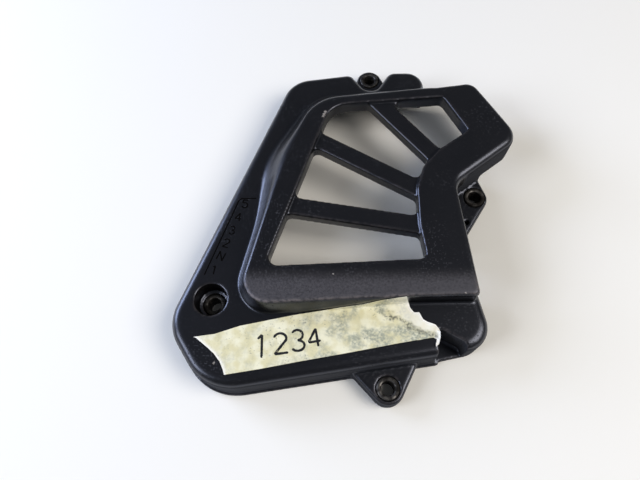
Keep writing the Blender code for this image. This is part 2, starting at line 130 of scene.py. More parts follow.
# A lug's bolt, its two roots on the wall, and its points behind the wall.
LUGS = (
    ("bottom", ((46.0, -63.5), (11.0, -69.5)), ()),
    ("rear", ((82.5, 33.0), (69.6, -8.0)), ((66.2, 0.0), (65.4, 13.0), (66.2, 19.0), (71.0, 24.2))),
    ("top", ((16.5, 90.0), (36.0, 95.5)), ((36.0, 86.0), (16.5, 86.0))),
)
LOCATING_HOLE = (74.3, 6.1)
LOCATING_HOLE_RADIUS = 1.3
STIFFENER = 2.0
STIFFENER_FOOT = 5.0
# A web's direction in degrees and its length.
BOSS_WEBS = ((158.9, 13.4), (230.0, 23.2), (12.0, 18.0))
GUSSET_OFFSETS = (-22.0, 4.0, 41.0)
GUSSET_LENGTH = 32.0
print("tiers at", PLATE_TOP, "and", FACE_TOP, "mm")

# %% [markdown]
# ## From outlines to solids
# The CAD solid has few facets in its corners, because every one costs time in its
# checks. A picture shows each facet as a kink in a highlight. So the cover's skin is
# drawn again from the same outlines, with finer steps, and then given the soft
# edges that a mould gives.

# %% Steps
CORNER_STEPS = 14
ROUND_SIDES = 72
EDGE_STEPS = 8
SIDE_STEPS = 16
SIDE_POINTS = 6
SMALLEST_RADIUS = 0.3
# A round takes less than half of each side, so that two rounds never meet.
SIDE_SHARE = 0.48
print("points in a corner", CORNER_STEPS + 1, "and round a bolt", ROUND_SIDES)


# %% Rounded outlines
def round_corner(before, corner, after, radius):
    """Points of the arc that rounds one corner of an outline."""
    here = Vector(corner)
    back = Vector(before) - here
    ahead = Vector(after) - here
    half_angle = back.angle(ahead) / 2
    tangent = radius / math.tan(half_angle)
    tangent = min(tangent, SIDE_SHARE * back.length, SIDE_SHARE * ahead.length)
    back.normalize()
    ahead.normalize()
    centre = here + (back + ahead).normalized() * tangent / math.cos(half_angle)
    start = here + back * tangent - centre
    end = here + ahead * tangent - centre
    return arc_points(centre, start, start.angle_signed(end), CORNER_STEPS)


def arc_points(centre, start, turn, steps):
    """Points of an arc from `start`, which is measured from the centre."""
    points = []
    for step in range(steps + 1):
        angle = turn * step / steps
        x = start.x * math.cos(angle) + start.y * math.sin(angle)
        y = start.y * math.cos(angle) - start.x * math.sin(angle)
        points.append(centre + Vector((x, y)))
    return points


def rounded_outline(corners):
    count = len(corners)
    points = []
    for index, (x, y, radius) in enumerate(corners):
        before = corners[index - 1][:2]
        after = corners[(index + 1) % count][:2]
        points += round_corner(before, (x, y), after, radius)
    return points


# %% Outlines moved inwards
def inset(points, distance):
    """An outline moved inwards. It runs clockwise, so inside is on the right."""
    count = len(points)
    moved = []
    for index, point in enumerate(points):
        back = (point - points[index - 1]).normalized()
        ahead = (points[(index + 1) % count] - point).normalized()
        normal_back = Vector((back.y, -back.x))
        normal_ahead = Vector((ahead.y, -ahead.x))
        mitre = (normal_back + normal_ahead) / (1 + normal_back.dot(normal_ahead))
        moved.append(point + mitre * distance)
    return moved


def inset_outline(corners, distance):
    """A rounded outline moved inwards: outer corners get tighter and inner ones wider."""
    places = [Vector(corner[:2]) for corner in corners]
    moved = inset(places, distance)
    count = len(corners)
    changed = []
    for index, (x, y, radius) in enumerate(corners):
        back = places[index] - places[index - 1]
        ahead = places[(index + 1) % count] - places[index]
        outer_corner = back.angle_signed(ahead) > 0
        new_radius = radius - distance if outer_corner else radius + distance
        changed.append((moved[index].x, moved[index].y, max(new_radius, SMALLEST_RADIUS)))
    return rounded_outline(changed)


def circle(centre, radius):
    return arc_points(Vector(centre), Vector((radius, 0.0)), 2 * math.pi, ROUND_SIDES)[:-1]


def cut_by_line(corners, origin, normal):
    """The part of an outline on the side of a line that its normal points to."""
    kept = []
    count = len(corners)
    for index, corner in enumerate(corners):
        after = corners[(index + 1) % count]
        here = (Vector(corner[:2]) - origin).dot(normal)
        there = (Vector(after[:2]) - origin).dot(normal)
        if here >= 0:
            kept.append(corner)
        if here * there < 0:
            crossing = Vector(corner[:2]).lerp(Vector(after[:2]), here / (here - there))
            kept.append((crossing.x, crossing.y, WINDOW_CORNER))
    return kept


# %% Where the CAD puts the plan's zero
# The frame's origin is the middle of the part's box, and these outlines reach its sides.
plan_points = inset_outline(PLATE_CORNERS, -RIM_LIP_WIDTH) + rounded_outline(FOOT_CORNERS)
for name in ("bottom", "top"):
    plan_points += circle(BOLTS[name], LUG_RADII[name])
MIDDLE = Vector(((min(p.x for p in plan_points) + max(p.x for p in plan_points)) / 2,
                 (min(p.y for p in plan_points) + max(p.y for p in plan_points)) / 2))
print("plan middle", tuple(round(v, 2) for v in MIDDLE))


def plan_x(x):
    return (x - MIDDLE.x) * MM


def plan_y(y):
    return (y - MIDDLE.y) * MM


def place(x, y, z):
    """A point of the plan, in millimetres, as a point of the frame, in metres."""
    return Vector((plan_x(x), plan_y(y), z * MM))


# %% Solids from outlines
def new_object(name, data):
    item = bpy.data.objects.new(name, data)
    bpy.context.scene.collection.objects.link(item)
    return item


def mesh_object(name, points, faces=()):
    mesh = bpy.data.meshes.new(name)
    mesh.from_pydata(points, [], faces)
    return new_object(name, mesh)


def closed_object(name, shape):
    """Turns all of a closed BMesh's faces outwards and makes an object of it."""
    bmesh.ops.recalc_face_normals(shape, faces=shape.faces)
    mesh = bpy.data.meshes.new(name)
    shape.to_mesh(mesh)
    shape.free()
    return new_object(name, mesh)


def loft(name, rings):
    """Closed solid through rings of (x, y, z) points, lowest ring first."""
    shape = bmesh.new()
    rows = [[shape.verts.new(place(*point)) for point in ring] for ring in rings]
    count = len(rows[0])
    for low, high in zip(rows, rows[1:]):
        for index in range(count):
            after = (index + 1) % count
            shape.faces.new((low[index], high[index], high[after]))
            shape.faces.new((low[index], high[after], low[after]))
    shape.faces.new(rows[0])
    shape.faces.new(list(reversed(rows[-1])))
    return closed_object(name, shape)


def ring_at(points, height):
    return [(point[0], point[1], height) for point in points]


def prism(name, points, low, high):
    return loft(name, (ring_at(points, low), ring_at(points, high)))


def rounded_block(name, outline_at, low, high, edge_round, draft):
    """Upright block with a drafted side and a round on its top edge."""
    rings = [ring_at(outline_at(0.0), low)]
    for step in range(EDGE_STEPS + 1):
        angle = math.pi / 2 * step / EDGE_STEPS
        inward = draft + edge_round * (1 - math.cos(angle))
        rings.append(ring_at(outline_at(inward), high - edge_round * (1 - math.sin(angle))))
    return loft(name, rings)


# %% [markdown]
# ## The raised tier
# Its left and upper sides are long S shaped slopes, and its other sides stand nearly
# upright under a small round. One loft makes both: each point of the foot has its
# partner on the face's edge, and a number says how much of a slope lies between.

# %% Side of the raised tier
def slope_rise(run):
    """Height of the S shaped slope, 0 to 1, at a share of its run."""
    end = SLOPE_ROUNDING
    scale = 1 / (1 - end)
    if run < end:
        return scale * run * run / (2 * end)
    if run > 1 - end:
        return 1 - scale * (1 - run) * (1 - run) / (2 * end)
    return scale * (run - end / 2)


def side_point(foot, face, form, step, low, high):
    """One point of the tier's side. `form` is 0 on a slope and 1 on an upright wall."""
    share = step / SIDE_STEPS
    slope_height = low + (high - low) * slope_rise(share)
    edge = min((face - foot).length, (high - low) / 2)
    angle = math.pi / 2 * share
    upright_height = high - edge * (1 - math.sin(angle))
    run = (1 - form) * share + form * (1 - math.cos(angle))
    height = (1 - form) * slope_height + form * upright_height
    spot = foot.lerp(face, run)
    return (spot.x, spot.y, height)


def with_side_points(outline):
    """A rounded outline with more points on the straights between its corners."""
    points = []
    count = len(outline)
    for index, point in enumerate(outline):
        points.append(point)
        if index % (CORNER_STEPS + 1) == CORNER_STEPS:
            after = outline[(index + 1) % count]
            for step in range(1, SIDE_POINTS + 1):
                points.append(point.lerp(after, step / (SIDE_POINTS + 1)))
    return points


def raised_solid(name, inward, downward):
    """The raised tier or, with a wall taken off it, the hollow inside it."""
    foot = with_side_points(inset_outline(FOOT_CORNERS, inward))
    face = with_side_points(inset_outline(FACE_CORNERS, inward))
    forms = []
    for index, form in enumerate(SIDE_FORMS):
        next_form = SIDE_FORMS[(index + 1) % len(SIDE_FORMS)]
        forms += [form] * (CORNER_STEPS + 1)
        for step in range(1, SIDE_POINTS + 1):
            share = step / (SIDE_POINTS + 1)
            forms.append((1 - share) * form + share * next_form)
    low = PLATE_TOP - downward
    high = FACE_TOP - downward
    rings = [ring_at(foot, -OVERRUN - downward)]
    for step in range(SIDE_STEPS + 1):
        rings.append([side_point(a, b, form, step, low, high) for a, b, form in zip(foot, face, forms)])
    return loft(name, rings)


# %% Lugs
def tangent_point(root, centre, radius, side):
    """Where the line from a lug's root touches the lug's round."""
    reach = Vector(centre) - Vector(root)
    angle = math.asin(radius / reach.length) * side
    length = math.sqrt(reach.length_squared - radius * radius)
    turned = Vector((reach.x * math.cos(angle) - reach.y * math.sin(angle),
                     reach.x * math.sin(angle) + reach.y * math.cos(angle)))
    return Vector(root) + turned.normalized() * length


def lug_outline(bolt, radius, roots, inner):
    """Two straight flanks out of the wall and a round nose about the bolt."""
    nose_start = tangent_point(roots[0], bolt, radius, 1)
    nose_end = tangent_point(roots[1], bolt, radius, -1)
    start = nose_start - Vector(bolt)
    turn = start.angle_signed(nose_end - Vector(bolt)) % (2 * math.pi)
    nose = arc_points(Vector(bolt), start, turn, ROUND_SIDES // 2)
    return [Vector(roots[0])] + nose + [Vector(roots[1])] + [Vector(point) for point in inner]


# %% Windows and webs
def bar_line(index, side):
    """A point on one side of a bar, and the direction square to the bar."""
    angle = FIRST_BAR_ANGLE + BAR_SPACING * index
    square = Vector((-math.sin(angle), math.cos(angle)))
    return Vector(FAN_CENTRE) + square * side * (BAR_WIDTH / 2 - WINDOW_STEP), square


def window_outlines():
    outlines = []
    for window in range(BAR_COUNT + 1):
        corners = list(FAN_CORNERS)
        if window > 0:
            origin, square = bar_line(window - 1, 1)
            corners = cut_by_line(corners, origin, square)
        if window < BAR_COUNT:
            origin, square = bar_line(window, -1)
            corners = cut_by_line(corners, origin, -square)
        outlines.append(inset_outline(corners, WINDOW_STEP))
    return outlines


def web(name, start, angle, length, low, high):
    along = Vector((math.cos(angle), math.sin(angle)))
    across = Vector((-along.y, along.x)) * STIFFENER / 2
    first = Vector(start)
    last = first + along * length
    return prism(name, [first - across, first + across, last + across, last - across], low, high)


def skirt_place(x, inward):
    """A point on the lower wall, some way inside it, and the direction inwards."""
    first = Vector(PLATE_CORNERS[-3][:2])
    last = Vector(PLATE_CORNERS[-2][:2])
    along = (last - first).normalized()
    square = Vector((along.y, -along.x))
    return first + along * (x - first.x) / along.x + square * inward, square


def box_points(low, high):
    return [Vector(point) for point in (low, (low[0], high[1]), high, (high[0], low[1]))]


# %% [markdown]
# ## Joining and cutting
# Exact Boolean modifiers join the forms and cut the openings, in the order in which
# a mould's halves and its slides would form them. They are evaluated once.

# %% The list of forms
def plate_at(inward):
    return inset_outline(PLATE_CORNERS, inward)


cover = rounded_block("cover", plate_at, -OVERRUN, PLATE_TOP, EDGE_ROUND, DRAFT_WIDTH)
joined = [raised_solid("raised_tier", 0.0, 0.0)]
for name, roots, inner in LUGS:
    outline = lug_outline(BOLTS[name], LUG_RADII[name], roots, inner)
    joined.append(rounded_block(f"{name}_lug", lambda inward, points=outline: inset(points, inward),
                                -OVERRUN, LUG_TOP, LUG_ROUND, 0.0))
lip_start, lip_end = [Vector(end) for end in RIM_LIP_ENDS]
lip_along = (lip_end - lip_start).normalized()
lip = cut_by_line(plate_at(-RIM_LIP_WIDTH), lip_start, Vector((-lip_along.y, lip_along.x)))
joined.append(prism("rim_lip", lip, -OVERRUN, RIM_LIP_HEIGHT))

# %% The hollow
hollow = [
    rounded_block("plate_hollow", lambda inward: plate_at(WALL + inward), -OVERRUN - WALL,
                  PLATE_TOP - WALL, EDGE_ROUND - WALL, DRAFT_WIDTH),
    raised_solid("raised_hollow", WALL, WALL),
]

# %% What stands inside
under_plate = PLATE_TOP - WALL / 2
notch_origin, notch_square = skirt_place(NOTCH_CORNERS[0][0], WALL - WALL_OVERLAP)
inside = [
    prism("front_boss", circle(BOLTS["front"], FRONT_BOSS_RADIUS), -OVERRUN, under_plate),
    prism("window_lip", inset_outline(FAN_CORNERS, -LIP_WALL),
          FACE_TOP - LIP_DEPTH, FACE_TOP - WALL / 2),
    prism("notch_walls", cut_by_line(inset_outline(NOTCH_CORNERS, -WALL), notch_origin, notch_square),
          -OVERRUN, under_plate),
]
for degrees, length in BOSS_WEBS:
    inside.append(web("boss_web", BOLTS["front"], math.radians(degrees), length,
                      STIFFENER_FOOT, under_plate))
for x in GUSSET_OFFSETS:
    start, square = skirt_place(x, WALL - WALL_OVERLAP)
    inside.append(web("gusset", start, math.atan2(square.y, square.x), GUSSET_LENGTH,
                      STIFFENER_FOOT, under_plate))

# %% The openings
above = FACE_TOP + OVERRUN
below = -2 * OVERRUN
# How far the cut below the engine's face reaches.
BEYOND = 200.0
openings = [prism("fan_recess", rounded_outline(FAN_CORNERS), FACE_TOP - BAR_DEPTH_BELOW_FACE, above)]
for outline in window_outlines():
    openings.append(prism("window", outline, FACE_TOP - LIP_DEPTH - OVERRUN, above))
for bolt in BOLTS.values():
    openings.append(prism("seat", circle(bolt, SEAT_RADIUS), below, above))
openings.append(prism("deep_seat", circle(BOLTS["front"], FRONT_SEAT_RADIUS), LUG_TOP, above))
openings.append(prism("locating_hole", circle(LOCATING_HOLE, LOCATING_HOLE_RADIUS), below, above))
openings.append(prism("notch", rounded_outline(NOTCH_CORNERS), NOTCH_FLOOR, above))
openings.append(prism("engine_face", box_points((-BEYOND, -BEYOND), (BEYOND, BEYOND)), -BEYOND, 0.0))
for (low, high), height in ((UPPER_CHAIN_EXIT, UPPER_EXIT_HEIGHT),
                            (UPPER_CHAIN_SIDE, UPPER_EXIT_HEIGHT),
                            (LOWER_CHAIN_EXIT, LOWER_EXIT_HEIGHT)):
    openings.append(prism("chain_exit", box_points(low, high), below, height))

# %% Booleans
for operation, tools in (("UNION", joined), ("DIFFERENCE", hollow),
                         ("UNION", inside), ("DIFFERENCE", openings)):
    for tool in tools:
        boolean = cover.modifiers.new(tool.name, "BOOLEAN")
        boolean.operation = operation
        boolean.object = tool
print("forms", len(cover.modifiers) + 1)

# %% [markdown]
# ## The moulded skin
# A moulded part has no knife edges. The Remesh modifier turns the sharp solid into an
# even skin of small faces, and a few rounds of Smooth give every edge a radius of
# about a millimetre. Decimate then thins the faces where the skin is flat.

# %% Even skin
SKIN_FACE = 0.62
SMOOTH_ROUNDS = 4
KEPT_SHARE = 0.42
remesh = cover.modifiers.new("even_skin", "REMESH")
remesh.mode = "VOXEL"
remesh.voxel_size = SKIN_FACE * MM
smooth = cover.modifiers.new("soft_edges", "SMOOTH")
smooth.factor = 0.5
smooth.iterations = SMOOTH_ROUNDS
thin = cover.modifiers.new("fewer_flat_faces", "DECIMATE")
thin.ratio = KEPT_SHARE
thin.use_collapse_triangulate = True


def evaluated_mesh(item, name):
    mesh = bpy.data.meshes.new_from_object(item.evaluated_get(bpy.context.evaluated_depsgraph_get()))
    mesh.name = name
    return mesh


skin_mesh = evaluated_mesh(cover, "moulded_cover")
for item in [cover] + joined + hollow + inside + openings:
    bpy.data.objects.remove(item)
moulded_cover = new_object("moulded_cover", skin_mesh)
print("skin faces", len(skin_mesh.polygons))

# %% [markdown]
# ## Helpers for nodes
# Every finish below is a small tree of shader nodes, and the sleeves are made by a tree
# of geometry nodes. One function adds a node of any kind: a value that is a socket
# becomes a link, and any other value is typed into the socket.

# %% Node helper
def add_node(tree, kind, inputs=None, **settings):
    node = tree.nodes.new(kind)
    for name, value in settings.items():
        setattr(node, name, value)
    for socket, value in (inputs or {}).items():
        if isinstance(value, bpy.types.NodeSocket):
            tree.links.new(value, node.inputs[socket])
        else:
            node.inputs[socket].default_value = value
    return node


# %% Colours
def linear(hex_colour):
    """A colour as a screen shows it, #rrggbb, turned to the linear light Blender uses."""
    parts = [int(hex_colour[start:start + 2], 16) / 255 for start in (1, 3, 5)]
    return tuple(c / 12.92 if c <= 0.04045 else ((c + 0.055) / 1.055) ** 2.4 for c in parts) + (1.0,)


def new_material(name, hex_colour, roughness, **shader_inputs):
    """A material, its node tree and its shader, with the constants typed in."""
    material = bpy.data.materials.new(name)
    material.use_nodes = True
    shader = material.node_tree.nodes["Principled BSDF"]
    shader.inputs["Base Color"].default_value = linear(hex_colour)
    shader.inputs["Roughness"].default_value = roughness
    for socket, value in shader_inputs.items():
        shader.inputs[socket.replace("_", " ")].default_value = value
    return material, material.node_tree, shader


# %% Patterns of the surface
# These find the tree that they add to from the sockets that they are given.
def noise_inputs(coords, size, detail=2.0):
    """Inputs of a noise between 0 and 1 whose blotches are about `size` millimetres across."""
    return {"Vector": coords, "Scale": 1 / (size * MM), "Detail": detail}


def soft_mask(*steps):
    """Where a finish lies, from 0 to 1: the product of all the steps.

    A step is a mask or (value, start, end), which rises softly from 0 at `start` to 1
    at `end`. Two more numbers say between which values it rises instead.
    """
    result = None
    for step in steps:
        if isinstance(step, tuple):
            value, start, end, low, high = (*step, 0.0, 1.0)[:5]
            inputs = {"Value": value, "From Min": start, "From Max": end, "To Min": low, "To Max": high}
            step = add_node(value.id_data, "ShaderNodeMapRange", inputs,
                            interpolation_type="SMOOTHSTEP").outputs[0]
        if result is not None:
            step = add_node(step.id_data, "ShaderNodeMath", {0: result, 1: step},
                            operation="MULTIPLY").outputs[0]
        result = step
    return result


def patches(coords, size, start, end, detail=2.0, low=0.0, high=1.0):
    """Blotches with soft rims: `low` where the noise is under `start`, `high` over `end`."""
    blotches = add_node(coords.id_data, "ShaderNodeTexNoise", noise_inputs(coords, size, detail))
    return soft_mask((blotches.outputs["Fac"], start, end, low, high))


# %% Layers of a finish
def strongest(first, *others):
    """The strongest of several masks at each point."""
    for other in others:
        first = add_node(other.id_data, "ShaderNodeMath", {0: first, 1: other},
                         operation="MAXIMUM").outputs[0]
    return first


def layered(colour, *layers):
    """A colour with more laid over it. A layer is its mask and its colour as #rrggbb."""
    for mask, hex_colour in layers:
        inputs = {0: mask, 6: colour, 7: linear(hex_colour)}
        colour = add_node(mask.id_data, "ShaderNodeMix", inputs, data_type="RGBA").outputs[2]
    return colour


# %% [markdown]
# ## The engraved shift pattern
# The real cover carries the gears' numbers, cut a third of a millimetre deep into its
# lower tier beside a bent line. They could be painted on, but a groove catches the light and
# shows in the mesh too. A thin tube laid along each stroke and taken out of the skin
# leaves a round groove, as a cutter's tip does.

# %% Strokes of the numbers
GROOVE_RADIUS = 0.33
BENT_LINE = ((-35.4, 15.3), (-42.9, 15.2), (-44.3, 14.2), (-58.2, -26.6))


def arc(x, y, radius_x, radius_y, start, end, steps=10):
    """Points of part of an ellipse, from one angle to another in degrees."""
    points = []
    for step in range(steps + 1):
        angle = math.radians(start + (end - start) * step / steps)
        points.append((x + radius_x * math.cos(angle), y + radius_y * math.sin(angle)))
    return points


# No stroke turns sharply: a tube bent back on itself is no clean cutter.
GLYPHS = {
    "5": (((1.3, 2.2), (-1.2, 2.2)), ((-1.2, 2.2), (-1.3, 0.35)),
          arc(0.0, -0.75, 1.5, 1.45, 130, -150)),
    "4": (((0.7, -2.2), (0.7, 2.2)), ((0.7, 2.2), (-1.5, -0.9)), ((-1.5, -0.9), (1.5, -0.9))),
    "3": (arc(0.0, 1.1, 1.2, 1.1, 150, -90, 8), arc(0.0, -1.1, 1.4, 1.1, 90, -150, 8)),
    "2": (arc(0.0, 1.0, 1.4, 1.2, 160, -20, 8) + [(-1.5, -2.2)], ((-1.5, -2.2), (1.5, -2.2))),
    "N": (((-1.5, -2.2), (-1.5, 2.2)), ((-1.5, 2.2), (1.5, -2.2)), ((1.5, -2.2), (1.5, 2.2))),
    "1": (((-0.8, 1.4), (0.0, 2.2)), ((0.0, 2.2), (0.0, -2.2))),
}
# The number, where its middle is, and how far it leans.
SHIFT_PATTERN = (("5", -41.0, 12.1, -8), ("4", -43.9, 4.6, -6), ("3", -46.6, -2.7, -6),
                 ("2", -48.8, -9.8, -14), ("N", -50.9, -16.8, -22), ("1", -53.5, -24.1, -8))


# %% Groove cutter
def stroke_tube(points):
    """A closed tube along one stroke, half sunk in the lower tier."""
    curve = bpy.data.curves.new("stroke", "CURVE")
    curve.dimensions = "3D"
    curve.bevel_depth = GROOVE_RADIUS * MM
    curve.bevel_resolution = 2
    curve.use_fill_caps = True
    spline = curve.splines.new("POLY")
    spline.points.add(len(points) - 1)
    for spot, (x, y) in zip(spline.points, points):
        spot.co = (*place(x, y, PLATE_TOP), 1.0)
    return new_object("stroke", curve)


def spaced(points, spacing):
    """Points at even steps along a line of (x, y) points."""
    even = [points[0]]
    for (x1, y1), (x2, y2) in zip(points, points[1:]):
        steps = max(1, round(math.hypot(x2 - x1, y2 - y1) / spacing))
        for step in range(1, steps + 1):
            even.append((x1 + (x2 - x1) * step / steps, y1 + (y2 - y1) * step / steps))
    return even


# Strokes that touch each other are cut in different rounds, so that each cutter is clean.
STROKE_POINTS = 0.1
rounds = [[BENT_LINE], [], []]
for glyph, x, y, lean in SHIFT_PATTERN:
    turn = Matrix.Rotation(math.radians(lean), 2)
    for index, line in enumerate(GLYPHS[glyph]):
        rounds[index].append([tuple(turn @ Vector(point) + Vector((x, y))) for point in line])
stroke_spots = [place(x, y, PLATE_TOP)
                for lines in rounds for line in lines for x, y in spaced(line, STROKE_POINTS)]
print("strokes", [len(lines) for lines in rounds])

# %% Cut the grooves
SAME_POINT = 0.001
for lines in rounds:
    cutter_mesh = bmesh.new()
    for line in lines:
        stroke = stroke_tube(line)
        cutter_mesh.from_mesh(evaluated_mesh(stroke, "stroke"))
        bpy.data.objects.remove(stroke)
    bmesh.ops.remove_doubles(cutter_mesh, verts=cutter_mesh.verts, dist=SAME_POINT * MM)
    cut = moulded_cover.modifiers.new("strokes", "BOOLEAN")
    cut.operation = "DIFFERENCE"
    cut.solver = "MANIFOLD"
    cut.object = closed_object("stroke_cutter", cutter_mesh)
grooved = evaluated_mesh(moulded_cover, "moulded_cover")
for cut in moulded_cover.modifiers:
    bpy.data.objects.remove(cut.object)
moulded_cover.modifiers.clear()
moulded_cover.data = grooved
print("faces with the grooves", len(grooved.polygons))

# %% [markdown]
# ## Black nylon
# The cover is glass filled nylon, moulded in a finely grained mould. It looks satin:
# nearly black, with soft bluish gleams where an edge faces the window. Years of boots
# and grit have left it grey along its raised edges, and dust lies on it. Its inner
# corners and upright walls get painted shade, a darker colour where shade falls. Painted
# pictures would have to be wrapped round the skin. Noise needs no wrapping, and masks
# measured on the mesh put the wear and the painted shade where they would be.

# %% Black nylon
nylon, tree, shader = new_material("moulded_nylon", "#0f0f11", 0.34, Specular_IOR_Level=0.7,
                                   Specular_Tint=linear("#e2e9ff"))
coords = add_node(tree, "ShaderNodeTexCoord").outputs["Object"]
across, along, upward = add_node(tree, "ShaderNodeSeparateXYZ", {0: coords}).outputs
edge_wear, crevice, upright = [add_node(tree, "ShaderNodeAttribute", attribute_name=name).outputs["Fac"]
                               for name in ("edge_wear", "crevice", "upright")]
# The nylon itself is cloudy: the glass comes nearer to the surface in some places.
cloudy = add_node(tree, "ShaderNodeTexNoise", noise_inputs(coords, 14.0)).outputs["Fac"]
# Dust lies as specks a millimetre across, more of it in some places than in others.
dust = soft_mask(patches(coords, 0.9, 0.60, 0.72, detail=1.0),
                 patches(coords, 22.0, 0.42, 0.66, low=0.15, high=0.8))
# The boot rubs along the lower edge of the face.
rubbed = soft_mask((along, plan_y(-25.0), plan_y(-35.0)), (upward, 28.0 * MM, 28.8 * MM),
                   patches(coords, 0.9, 0.25, 0.75, detail=4.0, low=0.32, high=0.62))
# Raised edges are scraped to a pinkish grey, most of all the face's lower edge.
scraped = soft_mask(edge_wear, (along, plan_y(-28.0), plan_y(-37.0), 0.10, 0.9),
                    (upward, 24.0 * MM, 27.0 * MM, 0.15, 1.0),
                    patches(coords, 2.2, 0.34, 0.60, detail=4.0))
# Painted shade: the inner corners and the upright walls are darkened in the colour, as shade falls there.
colour = layered(linear("#070707"), (cloudy, "#121112"), (dust, "#2a2928"), (rubbed, "#4e4a4a"),
                 (scraped, "#8a807e"), (strongest(crevice, upright), "#040404"))


# %% Chips
def reach_from(x, y):
    """Distance in the plan from a place, at each point of the surface."""
    flat = add_node(tree, "ShaderNodeCombineXYZ", {0: across, 1: along}).outputs[0]
    return add_node(tree, "ShaderNodeVectorMath", {0: flat, 1: place(x, y, 0.0)},
                    operation="DISTANCE").outputs["Value"]


# A few chips show light: (x, y, radius). Only the tiers' tops have them.
CHIPS = ((-0.5, 60.7, 1.1), (0.2, 62.2, 0.9), (-1.0, 59.2, 0.8), (4.5, -29.6, 0.45),
         (64.6, -38.4, 0.5), (-49.4, -68.6, 0.8), (19.6, 51.1, 0.35))
RAGGED = 0.4
for x, y, radius in CHIPS:
    uneven = patches(coords, 0.8, 0.3, 0.7, low=-RAGGED * radius * MM, high=RAGGED * radius * MM)
    rim = add_node(tree, "ShaderNodeMath", {0: reach_from(x, y), 1: uneven}, operation="ADD").outputs[0]
    chip = soft_mask((rim, radius * MM, 0.5 * radius * MM), (upward, 14.0 * MM, 15.0 * MM))
    colour = layered(colour, (chip, "#8d8883"))
tree.links.new(colour, shader.inputs["Base Color"])
print("chips", len(CHIPS))

# %% Gloss and grain
# Low walls and the rear wall were never wiped, so they are dull. Bolts keep the seat clean.
low_wall = soft_mask((upward, 20.0 * MM, 16.0 * MM))
rear_wall = soft_mask((across, plan_x(70.0), plan_x(74.0)))
seat_rim = FRONT_SEAT_RADIUS + 1.0
off_seat = (reach_from(*BOLTS["front"]), seat_rim * MM, (seat_rim + 1.0) * MM)
unwiped = soft_mask(upright, strongest(low_wall, rear_wall), off_seat)
worn = strongest(dust, rubbed, scraped, unwiped)
tree.links.new(soft_mask((worn, 0.0, 1.0, 0.28, 1.0)), shader.inputs["Roughness"])
# The mould's grain is 0.1 mm; it is drawn at 0.5 mm, the finest that the picture can show.
grain = add_node(tree, "ShaderNodeTexNoise", noise_inputs(coords, 0.5, 3.0)).outputs["Fac"]
bumps = add_node(tree, "ShaderNodeBump", {"Strength": 0.35, "Distance": 0.02 * MM, "Height": grain})
tree.links.new(bumps.outputs[0], shader.inputs["Normal"])
print("moulded_nylon has", len(tree.nodes), "nodes")

# %% Painted shade and dirt in the engraving
# Painted shade: the grooves' faces get a near-black colour, darker than the nylon round them, as shade
# falls in the grooves. The noise adds dirt.
engraved, tree, shader = new_material("engraved_nylon", "#030303", 0.9, Specular_IOR_Level=0.08)
coords = add_node(tree, "ShaderNodeTexCoord").outputs["Object"]
dirt = add_node(tree, "ShaderNodeTexNoise", noise_inputs(coords, 1.5)).outputs["Fac"]
tree.links.new(layered(linear("#020202"), (dirt, "#0b0a0a")), shader.inputs["Base Color"])


# %% Where edges wear and where shade is painted
# Points of the engraving span long triangles, so in this box all masks stay empty.
PATTERN_LOW = place(-60.0, -29.0, PLATE_TOP - 0.45)
PATTERN_HIGH = place(-34.5, 16.5, PLATE_TOP + 0.1)
TINY = 1e-9


def vectors_of(collection, name):
    values = np.empty(len(collection) * 3, dtype=np.float32)
    collection.foreach_get(name, values)
    return values.reshape(-1, 3)


def measure_edges(mesh):
    """Stores three masks on the mesh: its raised edges, its inner corners and its upright walls."""
    count = len(mesh.vertices)
    places = vectors_of(mesh.vertices, "co").astype(float)
    normals = vectors_of(mesh.vertex_normals, "vector")
    ends = np.empty(len(mesh.edges) * 2, dtype=np.int32)
    mesh.edges.foreach_get("vertices", ends)
    first, second = ends.reshape(-1, 2).T
    way = places[second] - places[first]
    way /= np.linalg.norm(way, axis=1)[:, None] + TINY
    number = np.bincount(first, minlength=count) + np.bincount(second, minlength=count) + TINY
    bend = np.bincount(first, -(way * normals[first]).sum(1), count)
    bend += np.bincount(second, (way * normals[second]).sum(1), count)
    bend /= number

    def spread(values, rounds):
        for step in range(rounds):
            around = np.bincount(first, values[second], count)
            around += np.bincount(second, values[first], count)
            values = (values + around / number) / 2
        return values

    def mask(values, start, width):
        return np.clip((values - start) / width, 0.0, 1.0)

    masks = {
        "edge_wear": mask(spread(bend, 2), 0.04, 0.12),
        "crevice": mask(-spread(bend, 10), 0.008, 0.045),
        "upright": mask(-spread(normals[:, 2].astype(float), 1), -0.5, 0.25),
    }
    in_pattern = np.all((places > np.array(PATTERN_LOW)) & (places < np.array(PATTERN_HIGH)), axis=1)
    for name, values in masks.items():
        stored = mesh.attributes.new(name, "FLOAT", "POINT")
        stored.data.foreach_set("value", np.where(in_pattern, 0.0, values).astype(np.float32))
        print(name, "on", int((values > 0.5).sum()), "of", count, "points")


# %% The finished skin
grooved.materials.clear()
grooved.materials.append(nylon)
grooved.materials.append(engraved)
SHARP_ANGLE = math.radians(40.0)
# A face is engraved where it lies just under the tier's top and near a stroke.
ENGRAVED_LEVELS = ((PLATE_TOP - 0.5) * MM, (PLATE_TOP - 0.03) * MM)
ENGRAVED_REACH = 1.2 * GROOVE_RADIUS * MM
groove_tree = KDTree(len(stroke_spots))
for index, spot in enumerate(stroke_spots):
    groove_tree.insert(spot, index)
groove_tree.balance()
for face in grooved.polygons:
    if ENGRAVED_LEVELS[0] < face.center.z < ENGRAVED_LEVELS[1]:
        spot, index, reach = groove_tree.find(face.center)
        if reach < ENGRAVED_REACH:
            face.material_index = 1
grooved.shade_smooth()
grooved.set_sharp_from_angle(angle=SHARP_ANGLE)
measure_edges(grooved)
print("engraved faces", sum(face.material_index for face in grooved.polygons))

# %% [markdown]
# ## The steel sleeves
# A turned steel tube in each bolt hole takes the bolt's clamping force, so that the
# nylon isn't crushed. One could be modelled and copied, but four alike suit Geometry
# Nodes: a chamfered rectangle is swept round a circle, and the result stands on four
# points.

